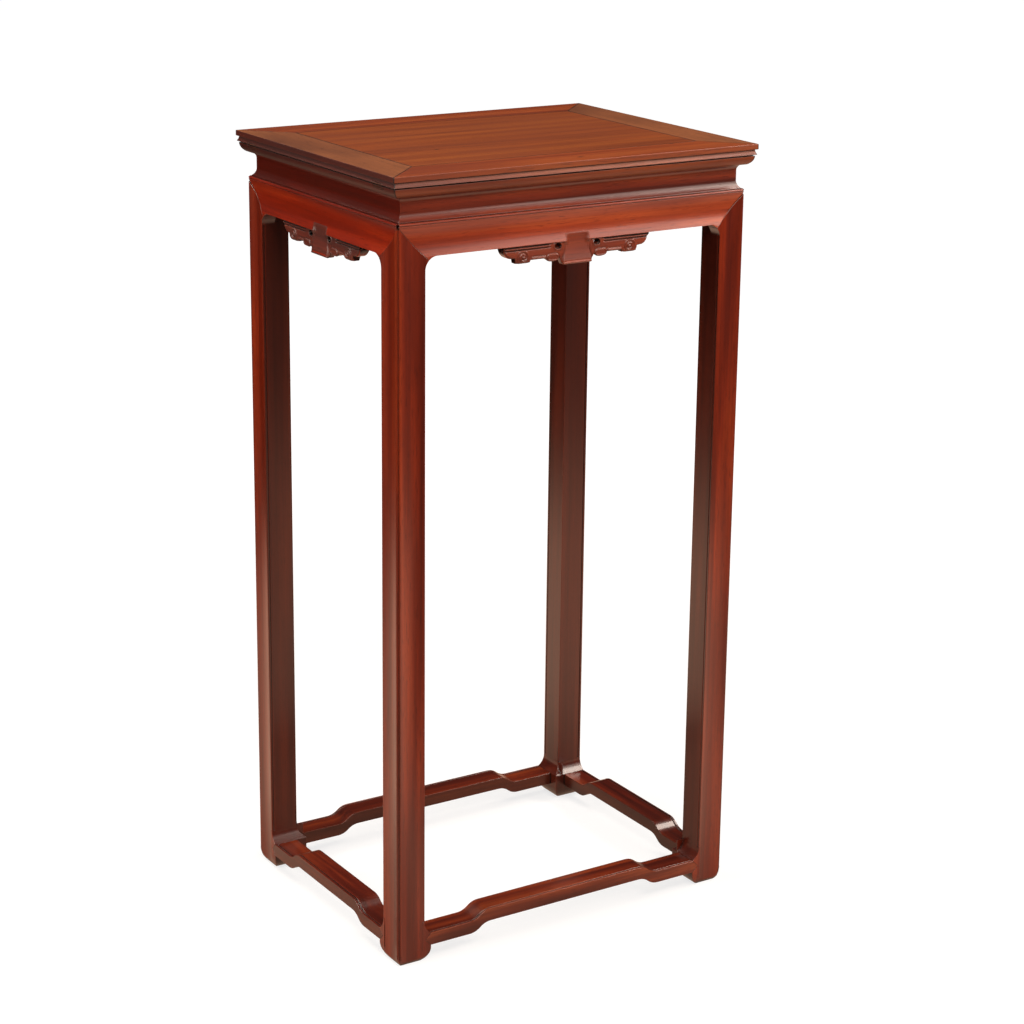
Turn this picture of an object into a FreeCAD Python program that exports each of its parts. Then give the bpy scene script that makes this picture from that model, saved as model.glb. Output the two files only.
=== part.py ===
# Incense stand of polished red hardwood, built with mortise and tenon joints and no metal.
# Millimetres, +Z up. The origin is on the floor under the centre of the top.
# The long sides are front (-Y) and back, the short sides are left (-X) and right.
import FreeCAD
import Part
import Sketcher
import math
import os

doc = FreeCAD.newDocument("incense_stand")

# Driving sizes. Everything else is worked out from these.
sizes = {
    # whole stand
    "top_width": 438,
    "top_depth": 338,
    "stand_height": 840,
    # top frame and its moulded edge
    "top_thickness": 22,
    "rail_width": 47,
    "edge_ease": 0.8,
    "band_height": 5.8,
    "scotia_height": 5,
    "scotia_depth": 2.6,
    "lip_set_back": 0.8,
    "lip_height": 0.7,
    "quirk_height": 1.2,
    "quirk_depth": 4.2,
    "ovolo_set_back": 2.4,
    "ovolo_run": 5.6,
    # floating panel
    "panel_thickness": 10,
    "panel_gap": 0.4,
    "panel_float": 1.5,
    "tongue_drop": 3,
    "tongue_thickness": 4,
    "tongue_length": 7,
    # through tenons of the long rails
    "frame_tenon_inset": 25,
    "frame_tenon_width": 20,
    "frame_tenon_thickness": 6,
    "frame_tenon_cover": 1.5,
    # dovetailed battens under the panel
    "batten_spacing": 150,
    "batten_width": 30,
    "batten_drop": 10,
    "dovetail_depth": 3,
    "dovetail_splay": 2,
    "batten_tenon_length": 10,
    "batten_tenon_shoulder": 5,
    "batten_tenon_thickness": 5,
    # recessed waist
    "waist_height": 26,
    "waist_recess": 7.5,
    "waist_thickness": 8,
    "crown_height": 6.5,
    "crown_run": 4.5,
    "cove_height": 8,
    "cove_run": 4,
    "cove_lip": 0.8,
    "waist_tongue_thickness": 4,
    "waist_tongue_length": 4,
    # aprons
    "apron_height": 34.5,
    "apron_thickness": 16,
    "apron_bead": 2.5,
    "apron_bead_swell": 1,
    "apron_skin": 6,
    "apron_hollow": 3,
    "apron_tenon_inset": 8,
    "apron_tenon_thickness": 5,
    "apron_tenon_length": 12,
    "apron_tenon_rise": 6,
    "apron_tenon_height": 20,
    "opening_radius": 14,
    # carved pendants in the middle of the aprons
    "pendant_half_long": 87,
    "pendant_half_short": 81,
    "wing_set_back": 3,
    "wing_foot_thickness": 5,
    "wing_drop": 15.5,
    "wing_end_width": 13.5,
    "wing_end_drop": 12.5,
    "wing_end_radius": 8.5,
    "curl_width": 18,
    "curl_drop": 18,
    "bud_start": 21,
    "bud_width": 16,
    "bud_swell": 4,
    "tab_half": 14,
    "tab_foot_half": 17.5,
    "tab_rise": 7.5,
    "tab_drop": 23.5,
    "tab_lip": 1.5,
    "tab_hollow": 1.2,
    "hole_centre_long": 23.5,
    "hole_centre_short": 19.5,
    "hole_drop": 4,
    "hole_half_width": 3.5,
    "hole_height": 6.5,
    "hole_swell": 2,
    # legs
    "leg_set_back": 8.5,
    "leg_size": 32,
    "leg_hollow": 2.7,
    "corner_notch": 3,
    "edge_bead": 2.5,
    "edge_groove_width": 1.2,
    "edge_groove_depth": 1,
    "leg_tenon_size": 6,
    "leg_tenon_edge": 0.4,
    "leg_long_tenon": 12,
    "leg_short_tenon": 4.5,
    "base_flare": 8,
    "base_flare_height": 14,
    "foot_outer_inset": 6,
    "foot_inner_inset": 10,
    "foot_rise": 16,
    # humped base stretchers
    "stretcher_floor_gap": 18,
    "stretcher_thickness": 14,
    "stretcher_depth": 28,
    "stretcher_rise": 9.5,
    "stretcher_bend": 26,
    "stretcher_low_long": 48,
    "stretcher_low_short": 34,
    "stretcher_skin": 6,
    "stretcher_point": 7,
    "stretcher_tenon_inset": 8,
    "stretcher_tenon_width": 10,
    "stretcher_tenon_thickness": 8,
    "stretcher_tenon_length": 20,
    # fits
    "joint_clearance": 0.15,
    "tenon_end_gap": 0.6,
}

sheet = doc.addObject("Spreadsheet::Sheet", "Sizes")
for row, (name, size) in enumerate(sizes.items(), start=1):
    sheet.set(f"A{row}", name)
    sheet.set(f"B{row}", str(size))
    sheet.setAlias(f"B{row}", name)
doc.recompute()

# Cutting outlines run this far past the wood.
beyond = "1"

# Levels above the floor
top = "Sizes.stand_height"
underside = "(Sizes.stand_height - Sizes.top_thickness)"
shoulder = f"({underside} - Sizes.waist_height)"
mitre_top = f"({shoulder} - Sizes.apron_bead)"
apron_foot = f"({shoulder} - Sizes.apron_height)"
base_bottom = "Sizes.stretcher_floor_gap"
base_top = "(Sizes.stretcher_floor_gap + Sizes.stretcher_thickness)"
base_middle = "(Sizes.stretcher_floor_gap + Sizes.stretcher_thickness / 2)"
panel_bottom = f"({top} - Sizes.panel_thickness)"
tongue_top = f"({top} - Sizes.tongue_drop)"
tongue_bottom = f"({tongue_top} - Sizes.tongue_thickness)"
frame_tenon_bottom = f"({underside} + Sizes.leg_short_tenon + Sizes.frame_tenon_cover)"
frame_tenon_top = f"({frame_tenon_bottom} + Sizes.frame_tenon_thickness)"
batten_bottom = f"({panel_bottom} - Sizes.batten_drop)"
batten_tenon_top = f"({batten_bottom} + Sizes.batten_tenon_thickness)"
apron_tenon_bottom = f"({apron_foot} + Sizes.apron_tenon_rise)"
apron_tenon_top = f"({apron_tenon_bottom} + Sizes.apron_tenon_height)"
stretcher_tenon_bottom = f"({base_middle} - Sizes.stretcher_tenon_thickness / 2)"
stretcher_tenon_top = f"({base_middle} + Sizes.stretcher_tenon_thickness / 2)"

# Distances inward from the edge of the top
face = "Sizes.leg_set_back"
waist_face = "(Sizes.leg_set_back + Sizes.waist_recess)"
waist_back = f"({waist_face} + Sizes.waist_thickness)"
waist_tongue_front = f"({waist_face} + (Sizes.waist_thickness - Sizes.waist_tongue_thickness) / 2)"
waist_tongue_back = f"({waist_tongue_front} + Sizes.waist_tongue_thickness)"
apron_back = "(Sizes.leg_set_back + Sizes.apron_thickness)"
leg_inside = "(Sizes.leg_set_back + Sizes.leg_size)"
base_inside = f"({leg_inside} + Sizes.base_flare)"

# Distances inward from the outer corner of a leg
post_start = "(Sizes.waist_recess + Sizes.waist_thickness + Sizes.joint_clearance)"
block_start = "(Sizes.apron_skin + Sizes.joint_clearance)"
near_tenon = (
    f"({post_start} + Sizes.leg_tenon_edge)",
    f"({post_start} + Sizes.leg_tenon_edge + Sizes.leg_tenon_size)",
)
far_tenon = (
    "(Sizes.leg_size - Sizes.leg_tenon_edge - Sizes.leg_tenon_size)",
    "(Sizes.leg_size - Sizes.leg_tenon_edge)",
)
base_size = "(Sizes.leg_size + Sizes.base_flare)"

# A side's pieces are drawn facing -Y and turned about the middle of the stand.
half_width = "Sizes.top_width / 2"
half_depth = "Sizes.top_depth / 2"
sides = {
    "front": {"turn": 0, "run": half_width, "reach": half_depth, "long": True},
    "right": {"turn": 90, "run": half_depth, "reach": half_width, "long": False},
    "back": {"turn": 180, "run": half_width, "reach": half_depth, "long": True},
    "left": {"turn": 270, "run": half_depth, "reach": half_width, "long": False},
}
corners_of_stand = {
    "front_left": {"turn": 0, "across": "-", "along": "-", "long_first": True},
    "front_right": {"turn": 90, "across": "", "along": "-", "long_first": False},
    "back_right": {"turn": 180, "across": "", "along": "", "long_first": True},
    "back_left": {"turn": 270, "across": "-", "along": "", "long_first": False},
}


def number(expression):
    """Present value of an expression on the sheet's sizes."""
    return float(sheet.evalExpression(expression))


def swept_radius(chord, swell):
    """Radius of the arc that spans a chord and stands out from it by the swell."""
    return f"((({chord}) / 2)^2 + ({swell})^2) / (2 * ({swell}))"


def turned_radius(length, offset):
    """Radius of the arc that leaves a straight run and drifts by the offset over the length."""
    return f"(({length})^2 + ({offset})^2) / (2 * ({offset}))"


def arc_between(start, stop, radius, centre_side):
    """The shorter arc from start to stop, with its centre to the left or right of the way."""
    way = stop.sub(start)
    half = way.Length / 2
    height = math.sqrt(max(radius * radius - half * half, 0.0))
    left = FreeCAD.Vector(-way.y, way.x, 0).normalize()
    sign = 1 if centre_side == "left" else -1
    centre = start.add(way.multiply(0.5)).add(left.multiply(sign * height))
    first, last = (start, stop) if centre_side == "left" else (stop, start)
    begin = math.atan2(first.y - centre.y, first.x - centre.x)
    end = math.atan2(last.y - centre.y, last.x - centre.x)
    if end < begin:
        end += 2 * math.pi
    circle = Part.Circle(centre, FreeCAD.Vector(0, 0, 1), radius)
    return Part.ArcOfCircle(circle, begin, end)


def add_loop(sketch, corners, arcs):
    """Closed outline. Corners are (across, up) expressions; an edge listed in arcs is round."""
    points = [FreeCAD.Vector(number(across), number(up), 0) for across, up in corners]
    base = sketch.GeometryCount
    edges = []
    ends = []
    for index, start in enumerate(points):
        stop = points[(index + 1) % len(points)]
        if index in arcs:
            radius, centre_side = arcs[index]
            edges.append(arc_between(start, stop, number(radius), centre_side))
            ends.append((1, 2) if centre_side == "left" else (2, 1))
        else:
            edges.append(Part.LineSegment(start, stop))
            ends.append((1, 2))
    sketch.addGeometry(edges)
    rules = []
    for index in range(len(points)):
        following = (index + 1) % len(points)
        rules.append(Sketcher.Constraint(
            "Coincident", base + index, ends[index][1], base + following, ends[following][0]))
    bound = []
    for index, (across, up) in enumerate(corners):
        vertex = (base + index, ends[index][0])
        bound.append((Sketcher.Constraint("DistanceX", -1, 1, *vertex, points[index].x), across))
        bound.append((Sketcher.Constraint("DistanceY", -1, 1, *vertex, points[index].y), up))
    for index, (radius, centre_side) in arcs.items():
        bound.append((Sketcher.Constraint("Radius", base + index, number(radius)), radius))
    first_bound = sketch.ConstraintCount + len(rules)
    sketch.addConstraint(rules + [rule for rule, expression in bound])
    for offset, (rule, expression) in enumerate(bound):
        sketch.setExpression(f"Constraints[{first_bound + offset}]", expression)


def prism(body, name, plane, loops, low, high, cut=False):
    """Add or cut the loops drawn on one of the body's planes, between two places along its normal."""
    sketch = body.newObject("Sketcher::SketchObject", f"{name}_outline")
    support = [item for item in body.Origin.OriginFeatures if item.Role == plane][0]
    sketch.AttachmentSupport = (support, [""])
    sketch.MapMode = "FlatFace"
    for corners, arcs in loops:
        add_loop(sketch, corners, arcs)
    # The normal of the XZ plane points to -Y.
    start = high if cut != (plane == "XZ_Plane") else low
    sign = "-" if plane == "XZ_Plane" else ""
    sketch.setExpression("AttachmentOffset.Base.z", f"{sign}({start})")
    kind = "PartDesign::Pocket" if cut else "PartDesign::Pad"
    feature = body.newObject(kind, name)
    feature.Profile = sketch
    feature.setExpression("Length", f"({high}) - ({low})")
    volume_before = feature.BaseFeature.Shape.Volume if feature.BaseFeature else 0.0
    doc.recompute()
    change = feature.Shape.Volume - volume_before
    if (change > 0) == cut or feature.Shape.isNull():
        raise RuntimeError(f"{body.Label}: {name} changed the volume by {change:.3f}")
    sketch.Visibility = False


def rectangle(left, bottom, right, up):
    """Loop of a rectangle."""
    return [(left, bottom), (right, bottom), (right, up), (left, up)], {}


def new_body(label):
    """Empty body that carries the sub-part's name."""
    body = doc.addObject("PartDesign::Body", label)
    body.Label = label
    return body


def turn_about_axis(body, degrees):
    """Place a side's piece on its side of the stand."""
    body.Placement = FreeCAD.Placement(
        FreeCAD.Vector(0, 0, 0), FreeCAD.Rotation(FreeCAD.Vector(0, 0, 1), degrees))


def both_ends(points):
    """The same outline at the right end and, mirrored, at the left end."""
    mirrored = [(f"-({across})", up) for across, up in reversed(points)]
    return [(points, {}), (mirrored, {})]


def in_from(reach, distance):
    """Place across a side's piece, measured inward from the edge of the top."""
    return f"({distance}) - {reach}"


def cut_corner_mitres(body, run, reach):
    """Cut both ends at 45 degrees in plan, along the line from the corner of the top."""
    inner = "(Sizes.rail_width + " + beyond + ")"
    triangle = [
        (f"{run} + {beyond}", f"-{reach} - {beyond}"),
        (f"{run} + {beyond}", f"{inner} - {reach}"),
        (f"{run} - {inner}", f"{inner} - {reach}"),
    ]
    prism(body, "corner_mitres", "XY_Plane", both_ends(triangle), "0", f"{top} + {beyond}", cut=True)


def moulded_edge(place, outward):
    """Moulding down the edge of the top: band, scotia, lip, quirk and ovolo."""
    scotia_foot = "Sizes.band_height + Sizes.scotia_height"
    lip_foot = f"{scotia_foot} + Sizes.lip_height"
    ovolo_top = f"{lip_foot} + Sizes.quirk_height"
    ovolo_height = f"Sizes.top_thickness - ({ovolo_top})"
    outline = [
        ("Sizes.edge_ease", "0"),
        ("0", "Sizes.edge_ease"),
        ("0", "Sizes.band_height"),
        ("Sizes.scotia_depth", "Sizes.band_height"),
        ("Sizes.lip_set_back", scotia_foot),
        ("Sizes.lip_set_back", lip_foot),
        ("Sizes.quirk_depth", lip_foot),
        ("Sizes.quirk_depth", ovolo_top),
        ("Sizes.ovolo_set_back", ovolo_top),
        ("Sizes.ovolo_set_back + Sizes.ovolo_run", "Sizes.top_thickness"),
    ]
    hollow = "right" if outward == "left" else "left"
    arcs = {
        0: ("Sizes.edge_ease", outward),
        3: (turned_radius("Sizes.scotia_height", "Sizes.scotia_depth - Sizes.lip_set_back"), hollow),
        8: (turned_radius(ovolo_height, "Sizes.ovolo_run"), outward),
    }
    return [(place(inward), f"{top} - ({drop})") for inward, drop in outline], arcs


def make_rail(side):
    """Mitred rail of the top frame. Long rails carry the tenons, short rails the mortises."""
    run, reach = sides[side]["run"], sides[side]["reach"]
    is_long = sides[side]["long"]
    body = new_body(f"top_rail_{side}")
    inner = in_from(reach, "Sizes.rail_width")
    edge, arcs = moulded_edge(lambda inward: in_from(reach, inward), "left")
    section = edge + [(inner, underside), (inner, top)]
    prism(body, "bar", "YZ_Plane", [(section, arcs)], f"-{run}", run)
    cut_corner_mitres(body, run, reach)

    tenon_near = "Sizes.frame_tenon_inset"
    tenon_far = "(Sizes.frame_tenon_inset + Sizes.frame_tenon_width)"
    if is_long:
        tenon = rectangle(in_from(reach, tenon_near), frame_tenon_bottom,
                          in_from(reach, tenon_far), frame_tenon_top)
        prism(body, "through_tenons", "YZ_Plane", [tenon], f"-{run}", run)
        # The tenon ends are worked to the moulding of the short rails.
        right, right_arcs = moulded_edge(lambda inward: f"{run} - ({inward})", "right")
        left, left_arcs = moulded_edge(lambda inward: f"({inward}) - {run}", "left")
        past = f"({run} + {beyond})"
        right += [(past, underside), (past, top)]
        left += [(f"-{past}", underside), (f"-{past}", top)]
        prism(body, "tenon_end_moulding", "XZ_Plane", [(right, right_arcs), (left, left_arcs)],
              f"-{reach}", "0", cut=True)
    else:
        mortise_near = f"{run} - {tenon_near} + Sizes.joint_clearance"
        mortise_far = f"{run} - {tenon_far} - Sizes.joint_clearance"
        mortise_bottom = f"{frame_tenon_bottom} - Sizes.joint_clearance"
        mortise_top = f"{frame_tenon_top} + Sizes.joint_clearance"
        mortise = [
            (mortise_far, mortise_bottom),
            (mortise_near, mortise_bottom),
            (mortise_near, mortise_top),
            (mortise_far, mortise_top),
        ]
        prism(body, "through_mortises", "XZ_Plane", both_ends(mortise), f"-{reach} - {beyond}", "0", cut=True)

    groove = rectangle(
        in_from(reach, "Sizes.rail_width - Sizes.tongue_length - Sizes.panel_float"),
        f"{tongue_bottom} - Sizes.joint_clearance",
        in_from(reach, f"Sizes.rail_width + {beyond}"),
        f"{tongue_top} + Sizes.joint_clearance")
    prism(body, "panel_groove", "YZ_Plane", [groove], f"-{run}", run, cut=True)

    waist_groove = rectangle(
        in_from(reach, f"{waist_tongue_front} - Sizes.joint_clearance"),
        f"{underside} - {beyond}",
        in_from(reach, f"{waist_tongue_back} + Sizes.joint_clearance"),
        f"{underside} + Sizes.waist_tongue_length + Sizes.tenon_end_gap")
    prism(body, "waist_groove", "YZ_Plane", [waist_groove], f"-{run}", run, cut=True)

    seat_start = f"{run} - {face} - {far_tenon[1]} - Sizes.joint_clearance"
    seat_end = f"{run} - {face} - {far_tenon[0]} + Sizes.joint_clearance"
    seat_near = in_from(reach, f"{face} + {near_tenon[0]} - Sizes.joint_clearance")
    seat_far = in_from(reach, f"{face} + {near_tenon[1]} + Sizes.joint_clearance")
    seat = [
        (seat_start, seat_near),
        (seat_end, seat_near),
        (seat_end, seat_far),
        (seat_start, seat_far),
    ]
    leg_tenon = "Sizes.leg_long_tenon" if is_long else "Sizes.leg_short_tenon"
    prism(body, "leg_mortises", "XY_Plane", both_ends(seat), f"{underside} - {beyond}",
          f"{underside} + {leg_tenon} + Sizes.tenon_end_gap", cut=True)

    if is_long:
        half = "(Sizes.batten_width / 2 - Sizes.batten_tenon_shoulder + Sizes.joint_clearance)"
        centre = "Sizes.batten_spacing / 2"
        pocket = [
            (f"{centre} - {half}", f"{batten_bottom} - Sizes.joint_clearance"),
            (f"{centre} + {half}", f"{batten_bottom} - Sizes.joint_clearance"),
            (f"{centre} + {half}", f"{batten_tenon_top} + Sizes.joint_clearance"),
            (f"{centre} - {half}", f"{batten_tenon_top} + Sizes.joint_clearance"),
        ]
        depth = "Sizes.rail_width - Sizes.batten_tenon_length - Sizes.tenon_end_gap"
        prism(body, "batten_mortises", "XZ_Plane", both_ends(pocket),
              in_from(reach, depth), in_from(reach, f"Sizes.rail_width + {beyond}"), cut=True)
    turn_about_axis(body, sides[side]["turn"])
    return body


def make_panel():
    """Floating panel, flush with the frame, held by a tongue all round."""
    body = new_body("top_panel")
    half_x = f"({half_width} - Sizes.rail_width - Sizes.panel_gap)"
    half_y = f"({half_depth} - Sizes.rail_width - Sizes.panel_gap)"
    prism(body, "board", "XY_Plane", [rectangle(f"-{half_x}", f"-{half_y}", half_x, half_y)],
          panel_bottom, top)
    tongue_x = f"({half_width} - Sizes.rail_width + Sizes.tongue_length)"
    tongue_y = f"({half_depth} - Sizes.rail_width + Sizes.tongue_length)"
    prism(body, "tongue", "XY_Plane", [rectangle(f"-{tongue_x}", f"-{tongue_y}", tongue_x, tongue_y)],
          tongue_bottom, tongue_top)
    centre = "Sizes.batten_spacing / 2"
    neck = "(Sizes.batten_width / 2 - Sizes.dovetail_splay + Sizes.joint_clearance)"
    root = "(Sizes.batten_width / 2 + Sizes.joint_clearance)"
    ceiling = f"{panel_bottom} + Sizes.dovetail_depth + Sizes.joint_clearance"
    slot = [
        (f"{centre} - {neck}", f"{panel_bottom} - {beyond}"),
        (f"{centre} + {neck}", f"{panel_bottom} - {beyond}"),
        (f"{centre} + {neck}", panel_bottom),
        (f"{centre} + {root}", ceiling),
        (f"{centre} - {root}", ceiling),
        (f"{centre} - {neck}", panel_bottom),
    ]
    prism(body, "dovetail_slots", "XZ_Plane", both_ends(slot), f"-{half_depth}", half_depth, cut=True)
    return body


def make_batten(label, sign):
    """Batten dovetailed into the underside of the panel and tenoned into the long rails."""
    body = new_body(label)
    half = "Sizes.batten_width / 2"
    neck = "(Sizes.batten_width / 2 - Sizes.dovetail_splay)"
    ridge = f"{panel_bottom} + Sizes.dovetail_depth"
    section = [
        (f"-{half}", batten_bottom),
        (half, batten_bottom),
        (half, panel_bottom),
        (neck, panel_bottom),
        (half, ridge),
        (f"-{half}", ridge),
        (f"-{neck}", panel_bottom),
        (f"-{half}", panel_bottom),
    ]
    between = f"({half_depth} - Sizes.rail_width)"
    prism(body, "bar", "XZ_Plane", [(section, {})], f"-{between}", between)
    tenon_half = "(Sizes.batten_width / 2 - Sizes.batten_tenon_shoulder)"
    tenon = rectangle(f"-{tenon_half}", batten_bottom, tenon_half, batten_tenon_top)
    reach = f"({between} + Sizes.batten_tenon_length)"
    prism(body, "tenons", "XZ_Plane", [tenon], f"-{reach}", reach)
    body.setExpression("Placement.Base.x", f"{sign}Sizes.batten_spacing / 2")
    return body


def make_waist(side):
    """Recessed board under the top, hollowed between a coved crown and foot, mitred at the corners."""
    run, reach = sides[side]["run"], sides[side]["reach"]
    body = new_body(f"waist_{side}")
    crown = f"{waist_face} - Sizes.crown_run"
    lip = f"{waist_face} - Sizes.cove_run"
    lip_top = f"{shoulder} + Sizes.cove_lip"
    tongue_top_level = f"{underside} + Sizes.waist_tongue_length"
    section = [
        (in_from(reach, lip), shoulder),
        (in_from(reach, waist_back), shoulder),
        (in_from(reach, waist_back), underside),
        (in_from(reach, waist_tongue_back), underside),
        (in_from(reach, waist_tongue_back), tongue_top_level),
        (in_from(reach, waist_tongue_front), tongue_top_level),
        (in_from(reach, waist_tongue_front), underside),
        (in_from(reach, crown), underside),
        (in_from(reach, waist_face), f"{underside} - Sizes.crown_height"),
        (in_from(reach, waist_face), f"{lip_top} + Sizes.cove_height"),
        (in_from(reach, lip), lip_top),
    ]
    arcs = {
        7: (turned_radius("Sizes.crown_height", "Sizes.crown_run"), "right"),
        9: (turned_radius("Sizes.cove_height", "Sizes.cove_run"), "right"),
    }
    prism(body, "board", "YZ_Plane", [(section, arcs)], f"-{run}", run)
    cut_corner_mitres(body, run, reach)
    turn_about_axis(body, sides[side]["turn"])
    return body


def apron_section(reach, thickness):
    """Section of an apron: beaded top edge above a hollow face that flares to the lower edge."""
    back = f"{face} + {thickness}"
    bead_root = f"{face} + Sizes.apron_bead_swell"
    corners = [
        (in_from(reach, face), apron_foot),
        (in_from(reach, back), apron_foot),
        (in_from(reach, back), shoulder),
        (in_from(reach, bead_root), shoulder),
        (in_from(reach, bead_root), mitre_top),
        (in_from(reach, face), mitre_top),
    ]
    arcs = {
        3: (swept_radius("Sizes.apron_bead", "Sizes.apron_bead_swell"), "left"),
        5: (swept_radius("Sizes.apron_height - Sizes.apron_bead", "Sizes.apron_hollow"), "right"),
    }
    return corners, arcs


def opening_corner(corner_x, foot, sign):
    """The sharp inner corner of an opening, and where its round starts, stands halfway and ends."""
    step = "Sizes.opening_radius * (1 - sqrt(0.5))"
    return {
        "sharp": (corner_x, foot),
        "halfway": (f"{corner_x} {sign} {step}", f"{foot} - {step}"),
        "on_apron": (f"{corner_x} {sign} Sizes.opening_radius", foot),
        "on_leg": (corner_x, f"{foot} - Sizes.opening_radius"),
    }


def pendant_outline(half):
    """Lower outline of a carved pendant, as (across, drop) from the tab to the end of one wing."""
    curl_end = f"({half} - Sizes.wing_end_width)"
    curl_start = f"({curl_end} - Sizes.curl_width)"
    bud_end = "(Sizes.bud_start + Sizes.bud_width)"
    outline = [
        ("Sizes.tab_foot_half", "Sizes.tab_drop"),
        ("Sizes.bud_start", "Sizes.wing_drop"),
        (bud_end, "Sizes.wing_drop"),
        (curl_start, "Sizes.wing_drop"),
        (curl_start, "Sizes.curl_drop"),
        (curl_end, "Sizes.curl_drop"),
        (curl_end, "Sizes.wing_end_drop"),
        (f"{half} - Sizes.wing_end_radius", "Sizes.wing_end_drop"),
        (half, "Sizes.wing_end_drop - Sizes.wing_end_radius"),
        (half, f"-{beyond}"),
    ]
    bud = swept_radius("Sizes.bud_width", "Sizes.bud_swell")
    return outline, {1: bud, 7: "Sizes.wing_end_radius"}


def make_apron(side):
    """Apron mitred to the legs on its face, tenoned into them behind it, with a carved pendant."""
    run, reach = sides[side]["run"], sides[side]["reach"]
    length_name = "long" if sides[side]["long"] else "short"
    half = f"Sizes.pendant_half_{length_name}"
    hole_centre = f"Sizes.hole_centre_{length_name}"
    body = new_body(f"apron_{side}")
    to_leg = f"({run} - {leg_inside})"
    to_corner = f"({run} - {face})"
    front = in_from(reach, face)
    back = in_from(reach, apron_back)
    prism(body, "board", "YZ_Plane", [apron_section(reach, "Sizes.apron_thickness")], f"-{to_leg}", to_leg)
    prism(body, "mitred_skin", "YZ_Plane", [apron_section(reach, "Sizes.apron_skin")],
          f"-{to_corner}", to_corner)
    below_mitre = [
        (to_corner, mitre_top),
        (to_leg, apron_foot),
        (to_leg, f"{apron_foot} - {beyond}"),
        (f"{to_corner} + {beyond}", f"{apron_foot} - {beyond}"),
        (f"{to_corner} + {beyond}", mitre_top),
    ]
    prism(body, "leg_mitres", "XZ_Plane", both_ends(below_mitre), f"-{reach}", "0", cut=True)
    cut_corner_mitres(body, run, reach)

    # The indented corner of the leg runs on up to the shoulder.
    notch_end = f"({to_corner} - Sizes.corner_notch)"
    before_face = in_from(reach, f"{face} - {beyond}")
    notch_back = in_from(reach, f"{face} + Sizes.corner_notch")
    notch = [
        (notch_end, before_face),
        (f"{to_corner} + {beyond}", before_face),
        (f"{to_corner} + {beyond}", notch_back),
        (notch_end, notch_back),
    ]
    prism(body, "corner_notches", "XY_Plane", both_ends(notch), apron_foot,
          f"{shoulder} + {beyond}", cut=True)

    rounds = []
    for sign, corner_x, centre_side in (("-", to_leg, "left"), ("+", f"-{to_leg}", "right")):
        spot = opening_corner(corner_x, apron_foot, sign)
        loop = [spot["sharp"], spot["halfway"], spot["on_apron"]]
        rounds.append((loop, {1: ("Sizes.opening_radius", centre_side)}))
    prism(body, "opening_rounds", "XZ_Plane", rounds, front, back)

    tenon_front = f"{face} + Sizes.apron_tenon_inset"
    tenon = rectangle(in_from(reach, tenon_front), apron_tenon_bottom,
                      in_from(reach, f"{tenon_front} + Sizes.apron_tenon_thickness"), apron_tenon_top)
    tenon_end = f"({to_leg} + Sizes.apron_tenon_length)"
    prism(body, "tenons", "YZ_Plane", [tenon], f"-{tenon_end}", tenon_end)

    wing, wing_radii = pendant_outline(half)
    last = len(wing) - 1
    right_half = [(across, f"{apron_foot} - ({drop})") for across, drop in wing]
    left_half = [(f"-({across})", up) for across, up in reversed(right_half)]
    arcs = {}
    for index, radius in wing_radii.items():
        arcs[index] = (radius, "left")
        arcs[len(wing) + last - 1 - index] = (radius, "left")
    prism(body, "pendant_wings", "XZ_Plane", [(right_half + left_half, arcs)],
          in_from(reach, f"{face} + Sizes.wing_set_back"), back)

    # The tab runs down through the flare of the apron and flares again at its own foot.
    tab_top = f"{apron_foot} + Sizes.tab_rise"
    tab_bottom = f"{apron_foot} - Sizes.tab_drop"
    tab_lip = f"{tab_bottom} + Sizes.tab_lip"
    prism(body, "tab", "YZ_Plane", [rectangle(front, tab_bottom, back, apron_foot)],
          "-Sizes.tab_half", "Sizes.tab_half")
    hollow = [
        (before_face, tab_top),
        (before_face, tab_lip),
        (front, tab_lip),
        (in_from(reach, f"{face} + Sizes.apron_hollow"), tab_top),
    ]
    hollow_radius = swept_radius("Sizes.tab_rise + Sizes.tab_drop - Sizes.tab_lip", "Sizes.tab_hollow")
    prism(body, "tab_hollow", "YZ_Plane", [(hollow, {2: (hollow_radius, "left")})],
          "-Sizes.tab_half", "Sizes.tab_half", cut=True)

    # The pendant thins to its lower edge behind.
    foot_back = in_from(reach, f"{face} + Sizes.wing_set_back + Sizes.wing_foot_thickness")
    behind = in_from(reach, f"{apron_back} + {beyond}")
    bevel = [
        (back, apron_foot),
        (foot_back, tab_bottom),
        (foot_back, f"{tab_bottom} - {beyond}"),
        (behind, f"{tab_bottom} - {beyond}"),
        (behind, apron_foot),
    ]
    bevel_end = f"({half} + {beyond})"
    prism(body, "pendant_bevel", "YZ_Plane", [(bevel, {})], f"-{bevel_end}", bevel_end, cut=True)

    inner = f"({hole_centre} - Sizes.hole_half_width)"
    outer = f"({hole_centre} + Sizes.hole_half_width)"
    hole_top = f"{apron_foot} - Sizes.hole_drop + Sizes.hole_height / 2"
    hole_bottom = f"{apron_foot} - Sizes.hole_drop - Sizes.hole_height / 2"
    end = swept_radius("Sizes.hole_height", "Sizes.hole_swell")
    holes = []
    for near, far in ((inner, outer), (f"-{outer}", f"-{inner}")):
        loop = [(near, hole_bottom), (far, hole_bottom), (far, hole_top), (near, hole_top)]
        holes.append((loop, {1: (end, "left"), 3: (end, "left")}))
    prism(body, "pierced_holes", "XZ_Plane", holes, f"-{reach}", "0", cut=True)
    turn_about_axis(body, sides[side]["turn"])
    return body


def on_both_faces(body, name, loop, low, high, cut=False):
    """Shape the leg alike on its two outer faces, which mirror each other about its diagonal."""
    corners, arcs = loop
    prism(body, f"{name}_first", "XZ_Plane", [(corners, arcs)], low, high, cut)
    prism(body, f"{name}_second", "YZ_Plane", [(corners, arcs)], low, high, cut)


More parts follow.
